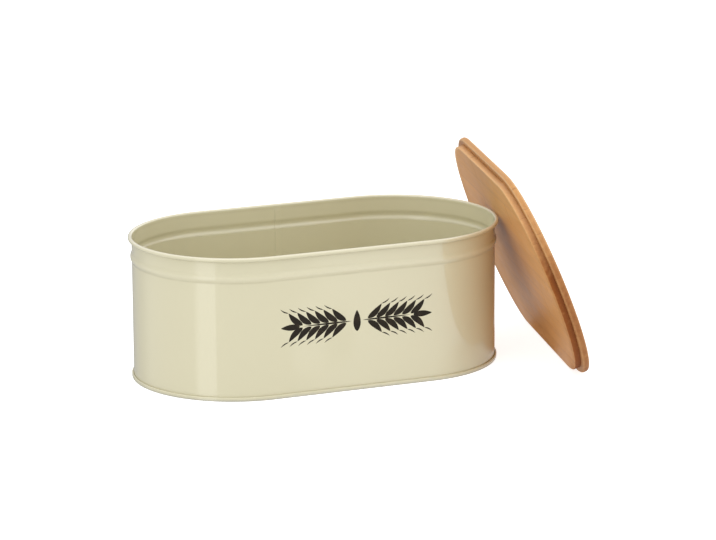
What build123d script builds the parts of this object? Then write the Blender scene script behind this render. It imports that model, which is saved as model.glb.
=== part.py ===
# Oval bread tin of painted sheet steel, with a bamboo lid that is off and leans on its end.
# Millimetres, +Z up. The origin is the middle of the tin's foot, on the surface it stands on.
# +X runs along the tin towards the end that the lid leans on, and -Y is the tin's front.

from build123d import *
import math
import os

# Tin: outside of the plain wall, and the height to the top of the rim
body_length = 329.0
body_width = 181.0
body_height = 126.0
sheet = 0.5

# Rolled rim: radius of the sheet's middle line, and how far round it is rolled, in degrees
rim_radius = 1.6
rim_roll = 300.0

# Swaged bead round the wall: its middle below the rim's top, its height and how far it stands out
bead_drop = 18.5
bead_height = 10.0
bead_proud = 1.3

# Double seam at the foot: layers of sheet a lacquer's thickness apart, rubbed level where it stands
seam_height = 3.7
seam_gap = 0.06
seam_bend = 0.5
foot_bend = 0.75
foot_wear = 0.05
hook_overlap = 1.1
base_recess = 4.5
base_bend = 1.5

# Folded side seam up the middle of the back
side_seam_width = 6.0
side_seam_proud = 0.35

# Lid: an upper board that overhangs the rim and a lower board that drops inside the wall
lid_overhang = 1.0
lid_board = 6.0
plug_board = 5.5
plug_clearance = 1.0
lid_rounding = 2.2
plug_rounding = 0.8
lid_strips = 10
plug_strips = 9

# How the lid leans: degrees back from upright, degrees turned from square to the tin, the clear
# gap at the rim, and how far its middle stands past the point that leans, along its own length
lid_lean = 21.1
lid_turn = 11.6
lean_gap = 0.3
lid_off_middle = -2.0

# What follows from the tin's sizes
straight_length = body_length - body_width
end_centre_x = straight_length / 2
sheet_line = body_width / 2 - sheet / 2
rim_height = body_height - sheet / 2 - rim_radius
rim_reach = 2 * rim_radius
seam_layer = sheet + seam_gap
foot_line = sheet / 2 - foot_wear
hook_line = foot_line + seam_layer
seam_top_line = seam_height - sheet / 2

# What follows for the lid: the upper board reaches past the rim, the lower fits inside the wall
lid_length = body_length + 2 * (rim_reach + lid_overhang)
lid_width = body_width + 2 * (rim_reach + lid_overhang)
plug_length = body_length - 2 * (sheet + plug_clearance)
plug_width = body_width - 2 * (sheet + plug_clearance)

# The leaning lid's directions: along its length, level away from the tin, and square to its boards
turn = math.radians(lid_turn)
lean = math.radians(lid_lean)
lid_along = Vector(math.sin(turn), math.cos(turn), 0)
lid_away = Vector(math.cos(turn), -math.sin(turn), 0)
lid_square = lid_away * math.cos(lean) + Vector(0, 0, math.sin(lean))

# The lid's lower edge stands on the table, and its lower board leans on the rolled rim.
# Its middle, on the glue line between the boards, follows from these two.
lid_middle_height = (
    lid_rounding
    + (lid_width / 2 - lid_rounding) * math.cos(lean)
    - lid_rounding * math.sin(lean)
)
rim_end = Vector(end_centre_x, 0, rim_height)
rim_extent = (sheet_line + rim_radius) * math.cos(lean) + rim_radius + sheet / 2
glue_distance = lid_square.dot(rim_end) + rim_extent + lean_gap + plug_board
lid_middle_out = (glue_distance - lid_middle_height * math.sin(lean)) / math.cos(lean)
lid_middle = (
    lid_away * lid_middle_out
    + lid_along * (lid_along.dot(rim_end) + lid_off_middle)
    + Vector(0, 0, lid_middle_height)
)
lid_plane = Plane(origin=lid_middle, x_dir=lid_along, z_dir=lid_square)
lid_axis = Axis(lid_middle, lid_square)

os.makedirs("parts", exist_ok=True)


def write(piece, name):
    """Label a finished piece and write it under its own name."""
    piece.part.label = name
    export_step(piece.part, f"parts/{name}.step")


def side_plane(side):
    """Upright plane across the tin where one straight side starts: x is outwards, y is up.

    Its x = 0 lies on the middle line of the wall's sheet. Side 1 is the back, -1 the front.
    """
    return Plane(
        origin=(-side * end_centre_x, side * sheet_line, 0),
        x_dir=(0, side, 0),
        z_dir=(side, 0, 0),
    )


def carry_round(section, side):
    """Carry a section along its straight side and back round the rounded end it starts from."""
    extrude(section.sketch, amount=straight_length)
    end_axis = Axis((-side * end_centre_x, 0, 0), (0, 0, 1))
    revolve(section.sketch, axis=end_axis, revolution_arc=180)


def draw_hook():
    """The wall's turned-out hook, from its tip down and across to the foot of the wall."""
    FilletPolyline(
        (2 * seam_layer, seam_top_line - seam_layer - seam_gap),
        (2 * seam_layer, hook_line),
        (0, hook_line),
        (0, seam_height),
        radius=seam_bend,
    )


def draw_beaded_wall(bottom, top):
    """The plain wall between two heights, with its bead: four equal arcs out, over and back in."""
    half_turn = 2 * math.atan(2 * bead_proud / bead_height)
    bead_radius = bead_height / 4 / math.sin(half_turn)
    bead_turn = math.degrees(half_turn)
    below = Line((0, bottom), (0, body_height - bead_drop - bead_height / 2))
    swell = JernArc(below @ 1, (0, 1), bead_radius, -bead_turn)
    crown = JernArc(swell @ 1, swell % 1, bead_radius, 2 * bead_turn)
    settle = JernArc(crown @ 1, crown % 1, bead_radius, -bead_turn)
    Line(settle @ 1, (0, top))


# Wall: one band of sheet with its hook, bead and rolled rim, folded together up the back
with BuildPart() as tin_wall:
    for side in (1, -1):
        with BuildSketch(side_plane(side)) as wall_section:
            with BuildLine():
                draw_hook()
                draw_beaded_wall(seam_height, rim_height)
                JernArc((0, rim_height), (0, 1), rim_radius, -rim_roll)
            trace(line_width=sheet)
        carry_round(wall_section, side)
    with BuildSketch(Plane((-side_seam_width / 2, sheet_line, 0), (0, 1, 0), (1, 0, 0))):
        with BuildLine():
            draw_beaded_wall(seam_height + sheet, rim_height - rim_radius - sheet)
        trace(line_width=sheet + 2 * side_seam_proud)
    extrude(amount=side_seam_width)
write(tin_wall, "tin_wall")

# Base: recessed panel, down inside the wall, out under it and folded over its hook.
# Its lowest bend is rubbed level, which makes the ring that the tin stands on.
with BuildPart() as tin_base:
    for side in (1, -1):
        with BuildSketch(side_plane(side)) as base_section:
            with BuildLine():
                FilletPolyline(
                    (-sheet_line, base_recess),
                    (-seam_layer, base_recess),
                    (-seam_layer, foot_line),
                    (3 * seam_layer, foot_line),
                    (3 * seam_layer, seam_top_line),
                    (seam_layer, seam_top_line),
                    (seam_layer, seam_top_line - seam_layer - hook_overlap),
                    radius=[base_bend, foot_bend, foot_bend, seam_bend, seam_bend],
                )
            trace(line_width=sheet)
        carry_round(base_section, side)
    split(bisect_by=Plane.XY, keep=Keep.TOP)
write(tin_base, "tin_base")


def cut_strips(board, board_width, level, thickness, count, name):
    """Cut a board lengthwise into its glued strips, counted from the edge that it stands on."""
    strip_width = board_width / count
    for index in range(count):
        middle = (index + 0.5) * strip_width - board_width / 2
        with BuildPart() as strip:
            add(board.part)
            with BuildSketch(lid_plane.offset(level)):
                with Locations((0, middle)):
                    Rectangle(lid_length, strip_width)
            extrude(amount=thickness, mode=Mode.INTERSECT)
        write(strip, f"{name}_{index + 1}")


# Lid, upper board: covers the rim, with both its edges rounded
with BuildPart() as top_board:
    with BuildSketch(lid_plane):
        SlotOverall(lid_length, lid_width)
    extrude(amount=lid_board)
    edge_loops = top_board.edges().group_by(lid_axis)
    fillet(edge_loops[0] + edge_loops[-1], radius=lid_rounding)
cut_strips(top_board, lid_width, 0, lid_board, lid_strips, "lid_top_strip")

# Lid, lower board: the plug that drops inside the wall, its free edge lightly rounded
with BuildPart() as plug:
    with BuildSketch(lid_plane.offset(-plug_board)):
        SlotOverall(plug_length, plug_width)
    extrude(amount=plug_board)
    fillet(plug.edges().group_by(lid_axis)[0], radius=plug_rounding)
cut_strips(plug, plug_width, -plug_board, plug_board, plug_strips, "lid_plug_strip")
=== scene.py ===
import math

import bmesh
import bpy
import numpy as np
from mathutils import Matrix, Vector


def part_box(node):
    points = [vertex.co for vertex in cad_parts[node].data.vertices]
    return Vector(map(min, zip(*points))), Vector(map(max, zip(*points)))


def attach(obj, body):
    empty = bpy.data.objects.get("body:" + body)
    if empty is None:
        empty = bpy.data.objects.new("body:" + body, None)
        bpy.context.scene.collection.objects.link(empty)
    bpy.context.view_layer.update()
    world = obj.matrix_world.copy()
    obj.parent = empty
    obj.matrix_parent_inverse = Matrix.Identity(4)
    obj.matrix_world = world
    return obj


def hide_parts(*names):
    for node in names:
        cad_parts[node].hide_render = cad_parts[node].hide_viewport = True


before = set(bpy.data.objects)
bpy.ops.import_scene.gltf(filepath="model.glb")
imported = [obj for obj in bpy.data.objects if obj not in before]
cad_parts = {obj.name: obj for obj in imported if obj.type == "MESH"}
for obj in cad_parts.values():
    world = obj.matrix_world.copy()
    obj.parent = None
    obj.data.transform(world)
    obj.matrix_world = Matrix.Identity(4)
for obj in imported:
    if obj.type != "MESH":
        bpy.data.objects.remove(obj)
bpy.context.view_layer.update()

scene = bpy.context.scene

# View
# The photograph's viewpoint: a long lens in front of the tin, a little to its left and above.
# Its angles, distance and focal length were worked out from the tin's outline in the picture.
view_azimuth = math.radians(-22.28)
view_elevation = math.radians(14.06)
view_roll = math.radians(-0.3)
view_distance = 3.195
view_target = np.array([0.0407, 0.0, 0.0815])
picture_width = 716
focal_pixels = 3618.7

towards_camera = np.array([
    math.sin(view_azimuth) * math.cos(view_elevation),
    -math.cos(view_azimuth) * math.cos(view_elevation),
    math.sin(view_elevation),
])
level_right = np.array([math.cos(view_azimuth), math.sin(view_azimuth), 0.0])
level_up = np.cross(towards_camera, level_right)
view_right = math.cos(view_roll) * level_right + math.sin(view_roll) * level_up
view_up = math.cos(view_roll) * level_up - math.sin(view_roll) * level_right


def place(thing, right, up, back, where):
    """Turn an object so that its own x, y and z point right, up and back, and put it somewhere."""
    turned = np.eye(4)
    turned[:3, :] = np.stack([right, up, back, where], axis=1)
    thing.matrix_world = turned.T.tolist()


lens = bpy.data.cameras.new("camera")
lens.sensor_width = 36.0
lens.lens = focal_pixels / picture_width * lens.sensor_width
lens.clip_end = 50.0
camera = bpy.data.objects.new("camera", lens)
place(camera, view_right, view_up, towards_camera, view_target + view_distance * towards_camera)
scene.collection.objects.link(camera)
scene.camera = camera
scene.view_settings.view_transform = "Standard"

# Studio
# A table of white opal acrylic, lit from below, in an even white tent. The tent is dimmer far behind
# the tin, which draws its edges, and has soft boxes whose clean edges show in the enamel.
floor_half = 12.0
table_white = 0.60
table_glow = 0.36
table_shine = 0.46

# The camera sees tent and table as white. Gloss looks past the table to the tent, except around the
# lid at rest, where it sees the table with a patch painted in the lid's colour where the lid stands.
# The patch is painted warm bounce light from the lid, which the tin's end mirrors. The patch belongs
# to the table: it stays where it is when the lid is lifted.
lid_gap_middle = (0.20, -0.02, 0.0)
lid_gap_reach = 0.11
lid_gap_fade = 1.5
warm_patch_middle = (0.215, -0.005, 0.0)
warm_patch_reach = 0.036
warm_patch_fade = 1.8
warm_patch = (0.42, 0.21, 0.08, 1.0)

# Bearings run from the front round by the tin's left. Each soft box has the bearing that it starts
# from and the one that it goes to, how far it fades out past that, and its light.
soft_boxes = [
    (math.radians(43.5), math.radians(61.0), math.radians(9.0), 1.0),
    (math.radians(-75.0), math.radians(-21.8), math.radians(0.5), 0.45),
    (math.radians(-150.0), math.radians(-105.0), math.radians(10.0), 0.35),
]
soft_box_edge = math.radians(0.5)
soft_box_top = 0.55
soft_box_gone = 0.62
horizon_light = 0.82
overhead_gain = 0.30
dim_from = math.radians(150)
dim_to = math.radians(205)
dim_fade = math.radians(22)
dim_loss = 0.45


def feed(tree, socket, value):
    """Feed a socket: linked where the value is another socket, or else set to it."""
    if isinstance(value, bpy.types.NodeSocket):
        tree.links.new(value, socket)
    else:
        socket.default_value = value


def add_node(tree, kind, settings=None, **links):
    """A shader node with its settings made and its sockets fed by values or other sockets.

    A link's name is the socket's name in lower case with underscores, or its number as n0, n1.
    """
    node = tree.nodes.new("ShaderNode" + kind)
    for key, value in (settings or {}).items():
        setattr(node, key, value)
    for key, value in links.items():
        if key[0] == "n" and key[1:].isdigit():
            socket = node.inputs[int(key[1:])]
        else:
            named = (s for s in node.inputs if s.enabled and s.name.lower().replace(" ", "_") == key)
            socket = next(named)
        feed(tree, socket, value)
    return node


def blend_colours(tree, amount, first, second):
    """The colour that goes from first to second as amount goes from 0 to 1."""
    mix = add_node(tree, "Mix", {"data_type": "RGBA"})
    feed(tree, mix.inputs[0], amount)
    feed(tree, mix.inputs[6], first)
    feed(tree, mix.inputs[7], second)
    return mix.outputs[2]


def calculate(tree, operation, first, second=0.0, third=0.0):
    """One step of arithmetic between numbers or sockets."""
    return add_node(tree, "Math", {"operation": operation}, n0=first, n1=second, n2=third).outputs[0]


def spread_out(tree, value, low, high, to_low=0.0, to_high=1.0):
    """A value carried smoothly from one range to another."""
    return add_node(
        tree, "MapRange", {"interpolation_type": "SMOOTHSTEP"},
        value=value, from_min=low, from_max=high, to_min=to_low, to_max=to_high,
    ).outputs[0]


floor_mesh = bpy.data.meshes.new("floor")
floor_corners = [
    (-floor_half, -floor_half, 0.0),
    (floor_half, -floor_half, 0.0),
    (floor_half, floor_half, 0.0),
    (-floor_half, floor_half, 0.0),
]
floor_mesh.from_pydata(floor_corners, [], [(0, 1, 2, 3)])
floor = bpy.data.objects.new("floor", floor_mesh)
scene.collection.objects.link(floor)
white_acrylic = bpy.data.materials.new("white_acrylic")
white_acrylic.use_nodes = True
acrylic = white_acrylic.node_tree.nodes["Principled BSDF"]
acrylic.inputs["Roughness"].default_value = 0.9
table = white_acrylic.node_tree
seen = add_node(table, "LightPath").outputs
shine = calculate(table, "MULTIPLY_ADD", seen["Is Camera Ray"], table_shine, table_glow)
table.links.new(shine, acrylic.inputs["Emission Strength"])
spot = add_node(table, "TexCoord").outputs["Object"]
off_gap = add_node(table, "VectorMath", {"operation": "DISTANCE"}, n0=spot, n1=lid_gap_middle).outputs[1]
past_gap = spread_out(table, off_gap, lid_gap_reach, lid_gap_fade * lid_gap_reach)
looked_past = calculate(table, "MULTIPLY", seen["Is Glossy Ray"], past_gap)
# Painted bounce light: near the lid's foot, gloss sees the table take the lid's warm colour.
off_foot = add_node(
    table, "VectorMath", {"operation": "DISTANCE"}, n0=spot, n1=warm_patch_middle,
).outputs[1]
near_foot = spread_out(table, off_foot, warm_patch_fade * warm_patch_reach, warm_patch_reach)
in_patch = calculate(table, "MULTIPLY", seen["Is Glossy Ray"], near_foot)
plain_table = (table_white, table_white, table_white, 1.0)
plain_glow = (1.0, 1.0, 1.0, 1.0)
for socket, plain in (("Base Color", plain_table), ("Emission Color", plain_glow)):
    table.links.new(blend_colours(table, in_patch, plain, warm_patch), acrylic.inputs[socket])
clear = add_node(table, "BsdfTransparent").outputs[0]
surface = add_node(
    table, "MixShader", n0=looked_past, n1=acrylic.outputs["BSDF"], n2=clear,
).outputs[0]
table.links.new(surface, table.nodes["Material Output"].inputs["Surface"])
floor_mesh.materials.append(white_acrylic)

surround = bpy.data.worlds.new("surround")
surround.use_nodes = True
sky = surround.node_tree
way = add_node(sky, "SeparateXYZ", vector=add_node(sky, "TexCoord").outputs["Generated"]).outputs
to_left = calculate(sky, "MULTIPLY", way[0], -1.0)
to_front = calculate(sky, "MULTIPLY", way[1], -1.0)
bearing = calculate(sky, "ARCTAN2", to_left, to_front)
all_round = calculate(sky, "FLOORED_MODULO", bearing, 2 * math.pi)
raised = calculate(sky, "MAXIMUM", way[2], 0.0)
tent_light = calculate(sky, "MULTIPLY_ADD", raised, overhead_gain, horizon_light)
dim_start = spread_out(sky, all_round, dim_from - dim_fade, dim_from)
dim_end = spread_out(sky, all_round, dim_to + dim_fade, dim_to)
dim = calculate(sky, "MULTIPLY", dim_start, dim_end)
low_dim = calculate(sky, "MULTIPLY", dim, calculate(sky, "SUBTRACT", 1.0, raised))
dimmed = calculate(sky, "MULTIPLY_ADD", low_dim, -dim_loss, 1.0)
open_light = calculate(sky, "MULTIPLY", tent_light, dimmed)
steepness = calculate(sky, "ABSOLUTE", way[2])
box_top = spread_out(sky, steepness, soft_box_gone, soft_box_top)
all_light = open_light
for box_from, box_to, box_fade, box_light in soft_boxes:
    box_start = spread_out(sky, bearing, box_from - soft_box_edge, box_from)
    box_end = spread_out(sky, bearing, box_to + box_fade, box_to)
    box = calculate(sky, "MULTIPLY", calculate(sky, "MULTIPLY", box_start, box_end), box_top)
    all_light = calculate(sky, "MULTIPLY_ADD", box, box_light, all_light)
camera_sees = add_node(sky, "LightPath").outputs["Is Camera Ray"]
shown = add_node(sky, "Mix", {"data_type": "FLOAT"}, factor=camera_sees, a=all_light, b=1.0)
sky.links.new(shown.outputs[0], sky.nodes["Background"].inputs["Strength"])
sky.nodes["Background"].inputs["Color"].default_value = (1.0, 1.0, 1.0, 1.0)
scene.world = surround


def hang_soft_box(name, where, aim, width, height, power):
    """A rectangular soft light, level along its width and facing the point that it is aimed at."""
    light = bpy.data.lights.new(name, "AREA")
    light.shape = "RECTANGLE"
    light.size = width
    light.size_y = height
    light.energy = power
    lamp = bpy.data.objects.new(name, light)
    back = np.array(where) - np.array(aim)
    back /= np.linalg.norm(back)
    right = np.cross([0.0, 0.0, 1.0], back)
    right /= np.linalg.norm(right)
    place(lamp, right, np.cross(back, right), back, where)
    scene.collection.objects.link(lamp)


hang_soft_box(
    "overhead_light", where=(-0.25, -0.35, 1.6), aim=(0.0, 0.0, 0.05),
    width=1.3, height=0.8, power=4.2,
)

# Tin wall
# One band of sheet steel, bent to an oval, folded together up the back, swaged with a bead that
# stiffens it, rolled outwards at the rim and hooked out at the foot. Baked cream enamel all over.
wall_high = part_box("tin_wall")[1]
sheet = 0.0005
rim_radius = 0.0016
rim_roll = 300.0
bead_drop = 0.0185
bead_height = 0.010
bead_proud = 0.0013
bead_edge = 0.004
seam_height = 0.0037
seam_gap = 0.00006
seam_bend = 0.0005
side_seam_width = 0.006
side_seam_proud = 0.00035
side_seam_edge = 0.0002
side_seam_tip = 0.001
foot_wear = 0.00005
wave_height = 0.00009
wave_length = 0.083
wave_rise = 0.19
wave_shift = 0.6
wave_level = 0.05
wave_hold = 0.03
wave_hold_ends = 0.02
rim_rub = 0.0009
crown_rub = 0.0018
crown_rub_share = 0.2
# Painted shade under the rolled rim and in the crease below the bead: spreads and share
roll_shelter = 0.0012
roll_shelter_share = 0.6
crease_rise = 0.0012
crease_shelter = 0.0008

sheet_line = wall_high.y - 2 * rim_radius - sheet / 2
end_centre = wall_high.x - wall_high.y
rim_height = wall_high.z - sheet / 2 - rim_radius
bead_middle = wall_high.z - bead_drop
foot_line = sheet / 2 - foot_wear
seam_layer = sheet + seam_gap
seam_top_line = seam_height - sheet / 2
bead_turn = 2 * math.atan(2 * bead_proud / bead_height)
bead_radius = bead_height / 4 / math.sin(bead_turn)


def straight(length, pieces=1):
    """A straight run of a bent sheet: its length, no turn, and how many pieces it is drawn in."""
    return length, 0.0, pieces


def arc(radius, degrees, pieces):
    """A bend of a sheet: its length, its turn (to the left is positive) and its pieces."""
    return radius * math.radians(abs(degrees)), math.radians(degrees), pieces


def bend_sheet(start, degrees, steps, tip_start=True, tip_end=True):
    """Section through a bent sheet, as a run of points with the direction square to the sheet.

    The middle line sets off from start at an angle. Within a step, the point at share t lies from
    the step's start by a chord length * t * sin(h) / h at the heading plus h, where h is turn * t / 2.
    The faces lie half a sheet to the right and left of it, and a half round joins them at each tip.
    """
    here = np.array(start)
    heading = math.radians(degrees)
    line = [here[None]]
    headings = [np.array([heading])]
    for length, turn, pieces in steps:
        share = np.arange(1, pieces + 1) / pieces
        half = turn * share / 2
        chord = length * share * np.sinc(half / np.pi)
        way = np.stack([np.cos(heading + half), np.sin(heading + half)], axis=1)
        line.append(here + chord[:, None] * way)
        headings.append(heading + turn * share)
        here = line[-1][-1]
        heading += turn
    line = np.concatenate(line)
    headings = np.concatenate(headings)
    square = np.stack([np.sin(headings), -np.cos(headings)], axis=1)
    half_round = np.linspace(0, np.pi, 7)[1:-1, None]
    onwards = np.array([-square[-1][1], square[-1][0]])
    backwards = np.array([square[0][1], -square[0][0]])
    end_tip = square[-1] * np.cos(half_round) + onwards * np.sin(half_round)
    start_tip = -square[0] * np.cos(half_round) + backwards * np.sin(half_round)
    normals = [square]
    middles = [line]
    if tip_end:
        normals.append(end_tip)
        middles.append(np.repeat(line[-1:], len(end_tip), axis=0))
    normals.append(-square[::-1])
    middles.append(line[::-1])
    if tip_start:
        normals.append(start_tip)
        middles.append(np.repeat(line[:1], len(start_tip), axis=0))
    normals = np.concatenate(normals)
    return np.concatenate(middles) + normals * sheet / 2, normals


# How finely the oval is drawn: stations along each straight side and round each end
side_stations = 33
end_stations = 95


def oval_stations(extra=()):
    """Stations along the oval: the x of the centre that each turns about, and its outward angle.

    The angle stands still along the two straight sides and turns about the end centres in between.
    """
    side = np.unique(np.concatenate([np.linspace(-end_centre, end_centre, side_stations), extra]))
    turn = np.linspace(-np.pi / 2, np.pi / 2, end_stations + 2)[1:-1]
    right_end = np.full(end_stations, end_centre)
    centres = np.concatenate([side, right_end, side[::-1], -right_end])
    angles = np.concatenate([
        np.full(len(side), -np.pi / 2), turn, np.full(len(side), np.pi / 2), turn + np.pi,
    ])
    return centres, angles


def round_the_oval(centres, angles, reach, height):
    """Points at a reach from the end centres: (centre + reach * cos, reach * sin, height)."""
    x = centres[None, :] + reach * np.cos(angles)[None, :]
    y = reach * np.sin(angles)[None, :]
    return np.stack([x, y, np.broadcast_to(height, x.shape)], axis=2)


def sheet_wave(along, height):
    """How far the flat sides of the thin wall stand off true: two slow sine waves multiplied.

    The waves die away towards the bead, the foot and the rounded ends, which hold the sheet true.
    """
    held = np.clip((bead_middle - bead_height - height) / wave_hold, 0, 1)
    held = held * np.clip(height / wave_hold, 0, 1)
    flat = np.clip((end_centre - np.abs(along)) / wave_hold_ends, 0, 1)
    ripple = np.sin(along * 2 * np.pi / wave_length + wave_shift)
    ripple = ripple * np.cos((height - wave_level) * 2 * np.pi / wave_rise)
    return wave_height * held * flat * ripple


def grid_faces(rows, columns, wrap_rows, wrap_columns):
    """Quads between neighbouring points of a grid that may close on itself either way."""
    row = np.arange(rows if wrap_rows else rows - 1)[:, None]
    column = np.arange(columns if wrap_columns else columns - 1)[None, :]
    corners = [
        row * columns + column,
        row * columns + (column + 1) % columns,
        (row + 1) % rows * columns + (column + 1) % columns,
        (row + 1) % rows * columns + column,
    ]
    return np.stack(corners, axis=2).reshape(-1, 4)


merge_within = 1e-6


def close_up(name, points, faces, sharp_degrees=40.0):
    """A mesh object from points and faces: coinciding points merged, faces outward and smooth."""
    mesh = bpy.data.meshes.new(name)
    mesh.from_pydata(points.reshape(-1, 3).tolist(), [], faces.tolist())
    shape = bmesh.new()
    shape.from_mesh(mesh)
    bmesh.ops.remove_doubles(shape, verts=shape.verts, dist=merge_within)
    bmesh.ops.recalc_face_normals(shape, faces=shape.faces)
    shape.to_mesh(mesh)
    shape.free()
    mesh.shade_smooth()
    mesh.set_sharp_from_angle(angle=math.radians(sharp_degrees))
    piece = bpy.data.objects.new(name, mesh)
    scene.collection.objects.link(piece)
    return piece


def points_of(mesh):
    """All the places of a mesh's points, as one array."""
    flat = np.zeros(len(mesh.vertices) * 3)
    mesh.vertices.foreach_get("co", flat)
    return flat.reshape(-1, 3)


def note(mesh, name, values):
    """Keep a number for each point of a mesh, for its material to read."""
    layer = mesh.attributes.new(name, "FLOAT", "POINT")
    layer.data.foreach_set("value", np.asarray(values, float))


def near(value, level, spread):
    """1 at a level and falling away from it as a bell with that spread."""
    return np.exp(-((value - level) / spread) ** 2)


wall_steps = [
    straight(seam_top_line - seam_layer - seam_gap - foot_line - seam_layer - seam_bend),
    arc(seam_bend, -90, 6),
    straight(2 * seam_layer - 2 * seam_bend),
    arc(seam_bend, -90, 6),
    straight(seam_height - foot_line - seam_layer - seam_bend, 2),
    straight(bead_middle - bead_height / 2 - seam_height - bead_edge, 28),
    straight(bead_edge, 8),
    arc(bead_radius, -math.degrees(bead_turn), 6),
    arc(bead_radius, 2 * math.degrees(bead_turn), 12),
    arc(bead_radius, -math.degrees(bead_turn), 6),
    straight(rim_height - bead_middle - bead_height / 2, 8),
    arc(rim_radius, -rim_roll, 40),
]
hook_tip = (2 * seam_layer, seam_top_line - seam_layer - seam_gap)
wall_section, wall_square = bend_sheet(hook_tip, -90.0, wall_steps)

# Side seam: the folded sheet stands proud in a band up the middle of the back. A station faces
# straight to the back or front where the sine of its angle is past this.
straight_on = 0.9999
fold_stations = side_seam_width / 2 * np.array([-1.3, -1.0, -0.93, 0.0, 0.93, 1.0, 1.3])
wall_centres, wall_angles = oval_stations(fold_stations)
at_back = np.sin(wall_angles) > straight_on
fold = at_back * np.clip((side_seam_width / 2 - np.abs(wall_centres)) / side_seam_edge, 0, 1)
above_foot = wall_section[:, 1] - seam_height - sheet
below_roll = rim_height - rim_radius - sheet - wall_section[:, 1]
fold_span = np.clip(above_foot / side_seam_tip, 0, 1) * np.clip(below_roll / side_seam_tip, 0, 1)
on_sides = np.abs(np.sin(wall_angles)) > straight_on
wave = sheet_wave(wall_centres[None, :], wall_section[:, 1][:, None]) * on_sides[None, :]
wall_proud = side_seam_proud * fold[None, :] * fold_span[:, None]
wall_reach = sheet_line + wall_section[:, 0][:, None] + wall_square[:, 0][:, None] * wall_proud + wave
wall_points = round_the_oval(wall_centres, wall_angles, wall_reach, wall_section[:, 1][:, None])
tin_wall = close_up("tin_wall_shell", wall_points, grid_faces(*wall_reach.shape, True, True))


def reach_of(points):
    """How far points lie from the line between the two end centres."""
    past_centre = np.maximum(np.abs(points[:, 0]) - end_centre, 0)
    return np.hypot(past_centre, points[:, 1])


wall_places = points_of(tin_wall.data)
wall_out = reach_of(wall_places) - sheet_line
wall_top = near(wall_places[:, 2], wall_high.z, rim_rub)
bead_crown = near(wall_places[:, 2], bead_middle, crown_rub) * (wall_out > bead_proud)
note(tin_wall.data, "rubbed", np.maximum(wall_top, crown_rub_share * bead_crown))
# Painted shade: the enamel is painted darker just under the rolled rim and along the crease below the
# bead, where shade falls.
under_roll = near(wall_places[:, 2], rim_height - rim_radius, roll_shelter)
under_roll = under_roll * (wall_out < 2 * rim_radius)
crease_height = bead_middle - bead_height / 2 + crease_rise
bead_crease = near(wall_places[:, 2], crease_height, crease_shelter)
note(tin_wall.data, "sheltered", np.maximum(roll_shelter_share * under_roll, bead_crease))


def new_group(name, ins, outs):
    """An empty shader group with named sockets: ins are (name, kind, value), outs (name, kind)."""
    group = bpy.data.node_groups.new(name, "ShaderNodeTree")
    for label, kind, value in ins:
        socket = group.interface.new_socket(label, in_out="INPUT", socket_type="NodeSocket" + kind)
        if value is not None:
            socket.default_value = value
    for label, kind in outs:
        group.interface.new_socket(label, in_out="OUTPUT", socket_type="NodeSocket" + kind)
    return group, group.nodes.new("NodeGroupInput"), group.nodes.new("NodeGroupOutput")


def group_of(tree, group, **values):
    """A group placed in a material, with its sockets set or fed by name."""
    node = tree.nodes.new("ShaderNodeGroup")
    node.node_tree = group
    for key, value in values.items():
        socket = next(s for s in node.inputs if s.name.lower().replace(" ", "_") == key)
        feed(tree, socket, value)
    return node


def srgb(red, green, blue):
    """A picture's 0 to 255 colour as the linear colour that a shader takes."""
    share = np.array([red, green, blue]) / 255
    linear = np.where(share <= 0.04045, share / 12.92, ((share + 0.055) / 1.055) ** 2.4)
    return (*linear.tolist(), 1.0)


def build_handled_group():
    """Light handling and painted light: the colour goes uneven, is painted darker as shade in creases
    and corners, and goes to a bare colour on rubbed places: worn paint, and in places a painted
    highlight or a painted contact shadow.

    Also puts out a roughness that follows smears, for any lacquered finish.
    """
    group, ins, outs = new_group(
        "handled_finish",
        [("Place", "Vector", None), ("Colour", "Color", None), ("Soiled", "Color", None),
         ("Bare", "Color", None), ("Rubbed", "Float", 0.0), ("Sheltered", "Float", 0.0),
         ("Soiling", "Float", 0.3), ("Wearing", "Float", 0.3), ("Unevenness", "Float", 0.05),
         ("Roughness", "Float", 0.3)],
        [("Colour", "Color"), ("Roughness", "Float")],
    )
    where = ins.outputs["Place"]
    clouds = add_node(group, "TexNoise", vector=where, scale=14.0, detail=3.0).outputs[0]
    specks = add_node(group, "TexNoise", vector=where, scale=900.0, detail=2.0).outputs[0]
    smears = add_node(group, "TexNoise", vector=where, scale=38.0, detail=5.0).outputs[0]
    cloud_tone = calculate(group, "MULTIPLY_ADD", clouds, 2.0, -1.0)
    uneven = calculate(group, "MULTIPLY_ADD", cloud_tone, ins.outputs["Unevenness"], 1.0)
    toned = add_node(
        group, "VectorMath", {"operation": "SCALE"}, vector=ins.outputs["Colour"], scale=uneven,
    )
    smear_edge = spread_out(group, smears, 0.30, 0.70)
    patchy = calculate(group, "MULTIPLY_ADD", smear_edge, 0.5, 0.5)
    soil_share = calculate(group, "MULTIPLY", patchy, ins.outputs["Soiling"])
    # Painted shade: the marked creases and corners go towards the darker colour, in patches.
    dirt = calculate(group, "MULTIPLY", ins.outputs["Sheltered"], soil_share)
    soiled = blend_colours(group, dirt, toned.outputs[0], ins.outputs["Soiled"])
    speck_edge = spread_out(group, specks, 0.35, 0.65, 0.7, 1.0)
    wear_share = calculate(group, "MULTIPLY", speck_edge, ins.outputs["Wearing"])
    wear = calculate(group, "MULTIPLY", ins.outputs["Rubbed"], wear_share)
    bared = blend_colours(group, wear, soiled, ins.outputs["Bare"])
    group.links.new(bared, outs.inputs["Colour"])
    smeared = calculate(group, "MULTIPLY_ADD", smear_edge, 0.06, ins.outputs["Roughness"])
    group.links.new(smeared, outs.inputs["Roughness"])
    return group


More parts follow.
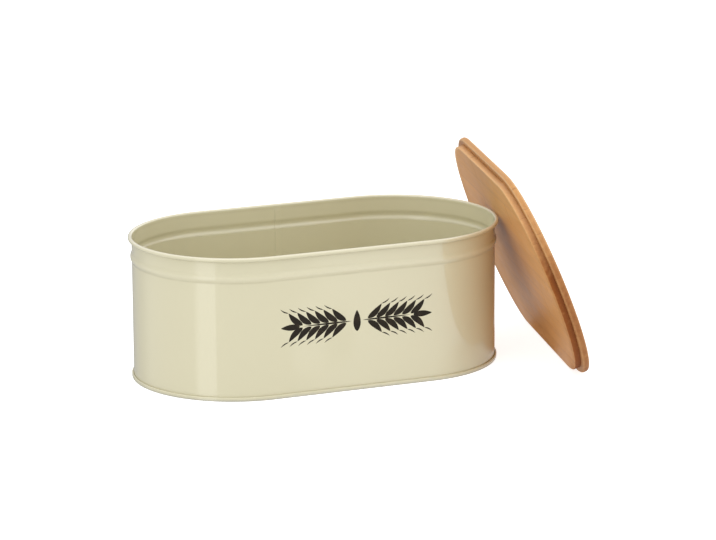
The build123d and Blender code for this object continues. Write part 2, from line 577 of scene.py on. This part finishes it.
def build_orange_peel_group():
    """Sprayed and baked finish: a fine even ripple, with here and there a speck under the film."""
    group, ins, outs = new_group(
        "orange_peel",
        [("Place", "Vector", None), ("Ripple", "Float", 1.0), ("Specks", "Float", 0.5)],
        [("Height", "Float")],
    )
    where = ins.outputs["Place"]
    ripple = add_node(group, "TexNoise", vector=where, scale=420.0, detail=1.0).outputs[0]
    cells = add_node(group, "TexVoronoi", vector=where, scale=160.0, randomness=1.0)
    speck = spread_out(group, cells.outputs["Distance"], 0.10, 0.0)
    speck = calculate(group, "MULTIPLY", speck, ins.outputs["Specks"])
    height = calculate(group, "MULTIPLY_ADD", ripple, ins.outputs["Ripple"], speck)
    group.links.new(height, outs.inputs["Height"])
    return group


handled_finish = build_handled_group()
orange_peel = build_orange_peel_group()


def bake_enamel(name, colour, soiled, bare, soiling, wearing, unevenness, roughness):
    """Baked enamel on steel: an even colour coat that has flowed out to a clear gloss, painted darker
    as shade where the mesh marks it.
    """
    material = bpy.data.materials.new(name)
    material.use_nodes = True
    tree = material.node_tree
    shader = tree.nodes["Principled BSDF"]
    here = add_node(tree, "TexCoord").outputs["Object"]
    rubbed = add_node(tree, "Attribute", {"attribute_name": "rubbed"}).outputs["Fac"]
    sheltered = add_node(tree, "Attribute", {"attribute_name": "sheltered"}).outputs["Fac"]
    handled = group_of(
        tree, handled_finish, place=here, colour=colour, soiled=soiled, bare=bare,
        rubbed=rubbed, sheltered=sheltered, soiling=soiling, wearing=wearing,
        unevenness=unevenness, roughness=roughness,
    )
    tree.links.new(handled.outputs["Colour"], shader.inputs["Base Color"])
    tree.links.new(handled.outputs["Roughness"], shader.inputs["Roughness"])
    peel = group_of(tree, orange_peel, place=here, ripple=1.0, specks=0.5)
    bump = add_node(tree, "Bump", height=peel.outputs["Height"], strength=0.2, distance=0.00001)
    tree.links.new(bump.outputs[0], shader.inputs["Normal"])
    shader.inputs["IOR"].default_value = 1.5
    shader.inputs["Coat Weight"].default_value = 1.0
    shader.inputs["Coat IOR"].default_value = 1.6
    shader.inputs["Coat Roughness"].default_value = 0.03
    return material


cream = srgb(210, 204, 172)
# Its darker colour is painted shade; its pale one is wear.
cream_enamel = bake_enamel(
    "cream_enamel", colour=cream, soiled=srgb(160, 150, 112), bare=srgb(238, 232, 210),
    soiling=0.30, wearing=0.60, unevenness=0.008, roughness=0.34,
)
tin_wall.data.materials.append(cream_enamel)
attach(tin_wall, "tin")
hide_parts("tin_wall")

# Tin base
# A pressed pan of the same sheet, recessed so that its panel clears the table, and folded out, up
# and over the wall's hook. The fold is rubbed level where the tin stands on it, and goes grey there:
# worn steel and painted contact shadow.
base_recess = 0.0045
base_bend = 0.0015
foot_bend = 0.00075
hook_overlap = 0.0011
stand_rub = 0.0015
corner_shelter = 0.004

base_steps = [
    straight(sheet_line - seam_layer - base_bend, 16),
    arc(base_bend, -90, 8),
    straight(base_recess - foot_line - base_bend - foot_bend, 2),
    arc(foot_bend, 90, 8),
    straight(4 * seam_layer - 2 * foot_bend),
    arc(foot_bend, 90, 8),
    straight(seam_top_line - foot_line - foot_bend - seam_bend, 2),
    arc(seam_bend, 90, 8),
    straight(2 * seam_layer - 2 * seam_bend),
    arc(seam_bend, 90, 8),
    straight(seam_layer + hook_overlap - seam_bend),
]
base_section = bend_sheet((-sheet_line, base_recess), 0.0, base_steps, tip_start=False)[0]
base_centres, base_angles = oval_stations()
base_height = np.maximum(base_section[:, 1], 0.0)[:, None]
base_points = round_the_oval(
    base_centres, base_angles, sheet_line + base_section[:, 0][:, None], base_height,
)
base_faces = grid_faces(*base_points.shape[:2], False, True)
tin_base = close_up("tin_base_pan", base_points, base_faces)

base_places = points_of(tin_base.data)
base_out = reach_of(base_places) - sheet_line
# Worn steel and painted contact shadow: the fold's lowest edge goes grey where the tin stands.
note(tin_base.data, "rubbed", near(base_places[:, 2], 0.0, stand_rub))
# Painted shade: the panel is painted darker round its edge, in the corner inside the tin.
panel_corner = near(base_out, -seam_layer - base_bend, corner_shelter)
panel_corner = panel_corner * (base_places[:, 2] > base_recess)
note(tin_base.data, "sheltered", panel_corner)

# Its grey bare colour is worn steel and painted contact shadow; its darker colour is painted shade.
base_enamel = bake_enamel(
    "cream_enamel_base", colour=cream, soiled=srgb(160, 150, 118), bare=srgb(138, 136, 130),
    soiling=0.2, wearing=0.75, unevenness=0.010, roughness=0.34,
)
tin_base.data.materials.append(base_enamel)
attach(tin_base, "tin")
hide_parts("tin_base")

# Printed ornament
# Two ears of wheat, stem to stem beside a lozenge, screen printed in dark brown on the front of the
# wall and baked with it. The ink stands a hair proud of the enamel. It is a plain country ornament.
print_middle = np.array([0.0025, 0.0615])
ink_proud = 0.00004
front_face = -(sheet_line + sheet / 2)
lozenge_high = 0.0095
lozenge_half_wide = 0.0034
stem_from = 0.0050
stem_to = 0.0500
stem_half_wide = 0.0008
ear_from = 0.0100
tip_gap = 0.0025
grain_pairs = 6
grain_long = 0.0175
grain_half_wide = 0.0027
grain_splay = 42.0
grain_bow = 0.0012
grain_off_stem = 0.0010
awn_long = 0.0085
awn_half_wide = 0.00055
awn_splay = 29.0
awn_bow = 0.0006
stroke_stations = 17
stroke_sides = 8


def lay_strokes(starts, ends, bows, widths):
    """Flat strokes of ink as closed slivers, half sunk in the wall: rows are stations along each.

    A stroke's line goes from start to end and bows to its left by bow * sin(pi * t). Its half width
    is width * sin(pi * t ** 0.8) ** 0.8, fullest before its middle, and its ink is an ellipse across.
    """
    t = np.linspace(0, 1, stroke_stations)[None, :, None]
    around = np.linspace(0, 2 * np.pi, stroke_sides + 1)[:-1][None, None, :]
    span = ends - starts
    left = np.stack([-span[:, 1], span[:, 0]], axis=1)
    left = (left / np.linalg.norm(span, axis=1, keepdims=True))[:, None, None, :]
    bow = bows[:, None, None] * np.sin(np.pi * t)
    half = widths[:, None, None] * np.sin(np.pi * t ** 0.8) ** 0.8
    line = starts[:, None, None, :] + span[:, None, None, :] * t[..., None]
    flat = line + left * (bow + half * np.cos(around))[..., None]
    depth = ink_proud * np.sin(around) * np.minimum(1.0, half / awn_half_wide)
    y = front_face - sheet_wave(flat[..., 0], flat[..., 1]) - depth
    return np.stack([flat[..., 0], y, flat[..., 1]], axis=3)


def stroke_faces(strokes, stations, loop):
    """The quads of every stroke, which are rings of points joined one to the next."""
    one = grid_faces(stations, loop, False, True)
    return (one[None] + (np.arange(strokes) * stations * loop)[:, None, None]).reshape(-1, 4)


def splayed(x, off_stem, splay, long):
    """Starts and ends of strokes that leave the stem at x, off it by a little, at a splay angle."""
    angle = math.radians(splay)
    way = np.array([math.cos(angle), math.copysign(math.sin(angle), off_stem)])
    start = np.stack([x, np.full(len(x), off_stem)], axis=1)
    return start, start + way * long


grain_feet = np.linspace(ear_from, stem_to, grain_pairs)
tip_from = stem_to + tip_gap
strokes = [
    (np.array([[0.0, -lozenge_high]]), np.array([[0.0, lozenge_high]]), 0.0, lozenge_half_wide),
    (np.array([[stem_from, 0.0]]), np.array([[stem_to, 0.0]]), 0.0, stem_half_wide),
    (np.array([[tip_from, 0.0]]), np.array([[tip_from + grain_long, 0.0]]), 0.0, grain_half_wide),
]
for side in (-1, 1):
    grain = splayed(grain_feet, side * grain_off_stem, grain_splay, grain_long)
    awn_feet = grain[1][:, 0]
    awn = splayed(awn_feet, side * np.abs(grain[1][0, 1]), awn_splay, awn_long)
    strokes.append((*grain, -side * grain_bow, grain_half_wide))
    strokes.append((*awn, -side * awn_bow, awn_half_wide))
stroke_starts = np.concatenate([stroke[0] for stroke in strokes])
stroke_ends = np.concatenate([stroke[1] for stroke in strokes])
stroke_bows = np.concatenate([np.full(len(stroke[0]), stroke[2]) for stroke in strokes])
stroke_widths = np.concatenate([np.full(len(stroke[0]), stroke[3]) for stroke in strokes])
mirror = np.array([-1.0, 1.0])
print_points = lay_strokes(
    np.concatenate([stroke_starts, stroke_starts[1:] * mirror]) + print_middle,
    np.concatenate([stroke_ends, stroke_ends[1:] * mirror]) + print_middle,
    np.concatenate([stroke_bows, -stroke_bows[1:]]),
    np.concatenate([stroke_widths, stroke_widths[1:]]),
)
front_print = close_up("front_print", print_points, stroke_faces(*print_points.shape[:3]))


def mix_ink(name, colour, thin_colour, roughness):
    """Screen ink: dense dark brown, thinner where the mesh of the screen left less of it."""
    material = bpy.data.materials.new(name)
    material.use_nodes = True
    tree = material.node_tree
    shader = tree.nodes["Principled BSDF"]
    here = add_node(tree, "TexCoord").outputs["Object"]
    patches = add_node(tree, "TexNoise", vector=here, scale=160.0, detail=4.0).outputs[0]
    thin = spread_out(tree, patches, 0.5, 0.75)
    tree.links.new(blend_colours(tree, thin, colour, thin_colour), shader.inputs["Base Color"])
    dull = spread_out(tree, patches, 0.3, 0.7, roughness, roughness + 0.12)
    tree.links.new(dull, shader.inputs["Roughness"])
    peel = group_of(tree, orange_peel, place=here, ripple=1.0, specks=0.2)
    bump = add_node(tree, "Bump", height=peel.outputs["Height"], strength=0.3, distance=0.00003)
    tree.links.new(bump.outputs[0], shader.inputs["Normal"])
    shader.inputs["IOR"].default_value = 1.3
    return material


brown_ink = mix_ink(
    "brown_ink", colour=srgb(32, 25, 15), thin_colour=srgb(46, 37, 26), roughness=0.45,
)
front_print.data.materials.append(brown_ink)
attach(front_print, "tin")

# Lid, upper board
# Ten strips of laminated bamboo, glued edge to edge and sawn to the oval of the rim with a little
# overhang. Both its edges are rounded over, sanded and oiled.
lid_lean = math.radians(21.1)
lid_turn = math.radians(11.6)
lid_overhang = 0.001
lid_rounding = 0.0022
board_thick = 0.006
lid_along = np.array([math.sin(lid_turn), math.cos(lid_turn), 0.0])
lid_away = np.array([math.cos(lid_turn), -math.sin(lid_turn), 0.0])
lid_square = lid_away * math.cos(lid_lean) + np.array([0.0, 0.0, math.sin(lid_lean)])
lid_across = np.cross(lid_square, lid_along)
lid_axes = np.stack([lid_along, lid_across, lid_square])
board_round = wall_high.y + lid_overhang

# Dark end grain where oil has soaked in, and painted shade on the ends towards the lower edge that
# the lid stands on: how far in from the edge the oil goes, its share in the flat faces beside the
# rounding, where the painted shade begins, as a share of the board's half width from its middle
# towards the upper edge, over what share it deepens towards the lower one, and how fast it comes
# in past the end centres
board_thirst = 0.70
oil_soak = 0.007
oil_in_faces = 0.45
oil_begins = 0.95
oil_deepens = 0.8
oil_past_end = 3.0

# Where an edge is painted pale, as wear and as a painted highlight: how far in, how wide a line and
# how far down its side
under_rub = (0.0005, 0.0007, 0.0009)
outer_rub = (0.0006, 0.0010, 0.0014)
rub_lost_to_oil = 1.2
# Painted shade in the inner corner of the step: its strength and height
board_step_dirt = 0.6
board_step_high = 0.001
board_tones = (0.15, 0.95)

# How finely a strip is drawn: the turn from row to row, the fewest rows, the points along the middle
# of a row and those in each rounding
row_turn = 0.022
fewest_rows = 7
middle_points = 23
rounding_points = 8


def names_in_order(start):
    """The frame's nodes whose names begin so, in the order of the number that ends each."""
    names = (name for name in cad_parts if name.startswith(start))
    return sorted(names, key=lambda name: int(name.split("_")[-1]))


board_names = names_in_order("lid_top_strip_")
board_corners = np.array([[list(corner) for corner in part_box(name)] for name in board_names])
board_middle = (board_corners[:, 0].min(axis=0) + board_corners[:, 1].max(axis=0)) / 2
glue_middle = board_middle - lid_square * board_thick / 2


def round_over(y, edge_round, rounding):
    """Quarter round along a board's edge, for rows at y: how far out it reaches and how deep it is.

    At an angle a the round is rounding * (1 - sin a) in from the edge and rounding * (1 - cos a)
    down from the face. A row near the long edge starts where the round is only as far in as the row.
    """
    room = np.clip((edge_round - np.abs(y)) / rounding, 0, 1)
    start = np.arcsin(1 - room)
    turn = start + (np.pi / 2 - start) * np.linspace(0, 1, rounding_points)
    inward = rounding * (1 - np.sin(turn))
    reach = end_centre + np.sqrt(np.maximum((edge_round - inward) ** 2 - y ** 2, 0))
    return reach, rounding * (1 - np.cos(turn))


def rub_line(inset, height, middle, width, depth):
    """How pale a board's edge is painted, as wear and highlight, for points at an inset from its side
    and a height off its face.
    """
    return near(inset, middle, width) * near(height, 0.0, depth)


def cut_strip(name, low, high, edge_round, level, thick, under_rounding, over_rounding, thirst):
    """One strip of an oval board, as rows across it that each run round its section lengthwise.

    Rows lie at edge_round * sin(a) for even steps of a. A row's underside runs from one rounded end
    to the other, its upper side runs back, and a flat cap closes each cut side. The sawn ends have
    gone dark with oil, and are painted darker still as shade towards the edge that the lid stands on,
    by the board's own strength of it. The pale line along an edge, worn and partly a painted
    highlight, fades out there.
    """
    first, last = np.arcsin(np.clip([low / edge_round, high / edge_round], -1, 1))
    rows = max(fewest_rows, round((last - first) / row_turn))
    y = edge_round * np.sin(np.linspace(first, last, rows))[:, None]
    share = np.linspace(-1, 1, middle_points + 2)[None, 1:-1]
    sides = []
    for rounding, face, inward in ((under_rounding, level, 1), (over_rounding, level + thick, -1)):
        reach, depth = round_over(y, edge_round, rounding)
        x = np.concatenate([-reach[:, ::-1], reach[:, :1] * share, reach], axis=1)
        between = np.repeat(depth[:, :1], share.size, axis=1)
        depth = np.concatenate([depth[:, ::-1], between, depth], axis=1)
        sides.append(np.stack([x, np.broadcast_to(y, x.shape), face + inward * depth], axis=2))
    under, over = sides
    loop = np.concatenate([under, over[:, ::-1]], axis=1)
    columns = loop.shape[1]
    half = columns // 2
    faces = [grid_faces(rows, columns, False, True)]
    step = np.arange(half - 1)
    cap = np.stack([step, step + 1, columns - 2 - step, columns - 1 - step], axis=1)
    faces += [cap, cap[:, ::-1] + (rows - 1) * columns]
    piece = close_up(name, glue_middle + loop @ lid_axes, np.concatenate(faces), sharp_degrees=35.0)
    local = (points_of(piece.data) - glue_middle) @ lid_axes.T
    grain = piece.data.attributes.new("grain", "FLOAT_VECTOR", "POINT")
    grain.data.foreach_set("vector", local.ravel())
    glued_low = local[:, 1] - low + (low <= -edge_round + merge_within)
    glued_high = high - local[:, 1] + (high >= edge_round - merge_within)
    note(piece.data, "glue_distance", np.minimum(glued_low, glued_high))
    past_centre = np.maximum(np.abs(local[:, 0]) - end_centre, 0)
    inset = edge_round - np.hypot(past_centre, local[:, 1])
    in_rounding = np.clip(1 - inset / under_rounding, 0, 1)
    soaked = np.maximum(in_rounding, oil_in_faces * np.exp(-inset / oil_soak))
    # Painted shade: the ends are painted darker towards the lower edge that the lid stands on.
    drunk = thirst * np.clip((oil_begins - local[:, 1] / edge_round) / oil_deepens, 0, 1)
    drunk = drunk * np.clip(oil_past_end * past_centre / edge_round, 0, 1)
    note(piece.data, "end_grain", soaked * drunk)
    # Wear and painted highlight: pale lines along the rounded edges.
    edge_rub = rub_line(inset, local[:, 2] - level, *under_rub)
    if over_rounding == under_rounding:
        edge_rub = np.maximum(edge_rub, rub_line(inset, local[:, 2] - level - thick, *outer_rub))
    note(piece.data, "rubbed", edge_rub * np.clip(1 - rub_lost_to_oil * drunk, 0, 1))
    return piece, local


def build_bamboo_group():
    """Laminated bamboo: long fibres, a tone for each strip, knuckles across it and dark end grain, which
    also carries painted shade towards the lid's lower edge.

    Reads a place in the board's own directions, with x along the fibres.
    """
    group, ins, outs = new_group(
        "bamboo_strip",
        [("Grain", "Vector", None), ("Tone", "Float", 0.5), ("Glue Distance", "Float", 1.0),
         ("End Grain", "Float", 0.0), ("Pale", "Color", None), ("Deep", "Color", None),
         ("Glue", "Color", None), ("Knuckle Spacing", "Float", 0.24)],
        [("Colour", "Color"), ("Height", "Float"), ("Dryness", "Float")],
    )
    grain = ins.outputs["Grain"]
    tone = ins.outputs["Tone"]
    apart = add_node(group, "CombineXYZ", x=tone, y=tone, z=0.0).outputs[0]
    shifted = add_node(group, "VectorMath", {"operation": "ADD"}, n0=grain, n1=apart).outputs[0]
    fine_place = add_node(group, "Mapping", vector=shifted, scale=(14.0, 1500.0, 1500.0))
    fine = add_node(
        group, "TexNoise", vector=fine_place.outputs[0], scale=1.0, detail=3.0, roughness=0.6,
    ).outputs[0]
    broad_place = add_node(group, "Mapping", vector=shifted, scale=(5.0, 260.0, 260.0))
    broad = add_node(
        group, "TexNoise", vector=broad_place.outputs[0], scale=1.0, detail=2.0,
    ).outputs[0]
    fibres = calculate(group, "MULTIPLY_ADD", fine, 0.55, calculate(group, "MULTIPLY", broad, 0.45))
    fibre_tone = spread_out(group, fibres, 0.32, 0.68)
    fibre_share = calculate(group, "MULTIPLY", fibre_tone, 0.45)
    strip_tone = calculate(group, "MULTIPLY_ADD", tone, 0.55, fibre_share)
    wood = blend_colours(group, strip_tone, ins.outputs["Deep"], ins.outputs["Pale"])
    parts = add_node(group, "SeparateXYZ", vector=grain).outputs
    spacing = ins.outputs["Knuckle Spacing"]
    wobble = calculate(group, "MULTIPLY", calculate(group, "SUBTRACT", broad, 0.5), 0.0035)
    along = calculate(group, "ADD", parts[0], wobble)
    offset = calculate(group, "MULTIPLY", tone, 3.7)
    knuckles = calculate(group, "ADD", calculate(group, "DIVIDE", along, spacing), offset)
    to_middle = calculate(group, "SUBTRACT", calculate(group, "FRACT", knuckles), 0.5)
    near_knuckle = calculate(group, "ABSOLUTE", to_middle)
    from_knuckle = calculate(group, "MULTIPLY", near_knuckle, spacing)
    ring = spread_out(group, from_knuckle, 0.0016, 0.0004)
    halo = spread_out(group, from_knuckle, 0.009, 0.001)
    wood = blend_colours(group, calculate(group, "MULTIPLY", halo, 0.25), wood, ins.outputs["Pale"])
    wood = blend_colours(group, calculate(group, "MULTIPLY", ring, 0.42), wood, ins.outputs["Glue"])
    drinking = calculate(group, "MULTIPLY_ADD", broad, -0.7, 1.35)
    ends = calculate(group, "MULTIPLY", ins.outputs["End Grain"], drinking)
    ends = calculate(group, "MINIMUM", ends, 1.0)
    wood = blend_colours(group, ends, wood, ins.outputs["Glue"])
    glue = spread_out(group, ins.outputs["Glue Distance"], 0.00028, 0.00008)
    wood = blend_colours(group, calculate(group, "MULTIPLY", glue, 0.45), wood, ins.outputs["Glue"])
    group.links.new(wood, outs.inputs["Colour"])
    height = calculate(group, "SUBTRACT", fine, calculate(group, "MULTIPLY", glue, 0.7))
    group.links.new(calculate(group, "MULTIPLY_ADD", ring, -0.4, height), outs.inputs["Height"])
    fibre_dryness = calculate(group, "MULTIPLY", fibre_tone, 0.08)
    dryness = calculate(group, "MULTIPLY_ADD", ends, 0.40, fibre_dryness)
    group.links.new(dryness, outs.inputs["Dryness"])
    return group


bamboo_strip = build_bamboo_group()


def oil_bamboo(name, pale, deep, glue, soiled, bare, roughness):
    """Oiled bamboo: the strips' own colour under a thin oil, painted darker as shade in the step's inner
    corner and pale along its rounded edges, as wear and as a painted highlight.
    """
    material = bpy.data.materials.new(name)
    material.use_nodes = True
    tree = material.node_tree
    shader = tree.nodes["Principled BSDF"]
    read = {}
    for attribute, out in (("grain", "Vector"), ("tone", "Fac"), ("glue_distance", "Fac"),
                           ("end_grain", "Fac"), ("rubbed", "Fac"), ("sheltered", "Fac")):
        read[attribute] = add_node(tree, "Attribute", {"attribute_name": attribute}).outputs[out]
    strip = group_of(
        tree, bamboo_strip, grain=read["grain"], tone=read["tone"], end_grain=read["end_grain"],
        glue_distance=read["glue_distance"], pale=pale, deep=deep, glue=glue,
    )
    handled = group_of(
        tree, handled_finish, place=read["grain"], colour=strip.outputs["Colour"], soiled=soiled,
        bare=bare, rubbed=read["rubbed"], sheltered=read["sheltered"], soiling=0.5, wearing=0.8,
        unevenness=0.06, roughness=roughness,
    )
    tree.links.new(handled.outputs["Colour"], shader.inputs["Base Color"])
    dried = calculate(tree, "ADD", strip.outputs["Dryness"], handled.outputs["Roughness"])
    tree.links.new(dried, shader.inputs["Roughness"])
    shader.inputs["IOR"].default_value = 1.42
    bump = add_node(tree, "Bump", height=strip.outputs["Height"], strength=0.4, distance=0.0001)
    tree.links.new(bump.outputs[0], shader.inputs["Normal"])
    return material


strip_tones = np.random.default_rng(7)
board_bamboo = oil_bamboo(
    "oiled_bamboo", pale=srgb(218, 162, 98), deep=srgb(180, 122, 64), glue=srgb(132, 72, 28),
    soiled=srgb(104, 60, 30), bare=srgb(240, 204, 156), roughness=0.34,
)
board_strip_wide = 2 * board_round / len(board_names)
for index, name in enumerate(board_names):
    low = index * board_strip_wide - board_round
    strip, local = cut_strip(
        name.replace("strip", "bamboo"), low, low + board_strip_wide, edge_round=board_round,
        level=0.0, thick=board_thick, under_rounding=lid_rounding, over_rounding=lid_rounding,
        thirst=board_thirst,
    )
    note(strip.data, "tone", np.full(len(local), strip_tones.uniform(*board_tones)))
    # Painted shade: the board is painted darker in the inner corner of the step below it.
    step_corner = np.clip(1 - np.abs(local[:, 2]) / board_step_high, 0, 1)
    note(strip.data, "sheltered", board_step_dirt * step_corner)
    strip.data.materials.append(board_bamboo)
    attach(strip, "lid")
    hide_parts(name)

# Lid, lower board
# The plug: nine strips of the same bamboo, glued under the upper board, that drop inside the wall
# with a little play and keep the lid in its place. Only its free edge is eased.
plug_clearance = 0.001
plug_thick = 0.0055
plug_rounding = 0.0008
glued_rounding = 0.00005
plug_thirst = 1.05
plug_step_high = 0.0012
plug_tones = (0.2, 0.9)
plug_round = sheet_line - sheet / 2 - plug_clearance
plug_names = names_in_order("lid_plug_strip_")
# The plug is the same bamboo, painted paler than the upper board to stand in for light on its shaded
# face.
plug_bamboo = oil_bamboo(
    "oiled_bamboo_plug", pale=srgb(226, 168, 104), deep=srgb(190, 131, 72), glue=srgb(140, 76, 22),
    soiled=srgb(100, 58, 30), bare=srgb(246, 204, 150), roughness=0.36,
)
plug_strip_wide = 2 * plug_round / len(plug_names)
for index, name in enumerate(plug_names):
    low = index * plug_strip_wide - plug_round
    strip, local = cut_strip(
        name.replace("strip", "bamboo"), low, low + plug_strip_wide, edge_round=plug_round,
        level=-plug_thick, thick=plug_thick, under_rounding=plug_rounding,
        over_rounding=glued_rounding, thirst=plug_thirst,
    )
    note(strip.data, "tone", np.full(len(local), strip_tones.uniform(*plug_tones)))
    # Painted shade: the plug is painted darker in the inner corner where it meets the upper board.
    step_corner = np.clip(1 - np.abs(local[:, 2]) / plug_step_high, 0, 1)
    note(strip.data, "sheltered", step_corner)
    strip.data.materials.append(plug_bamboo)
    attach(strip, "lid")
    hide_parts(name)
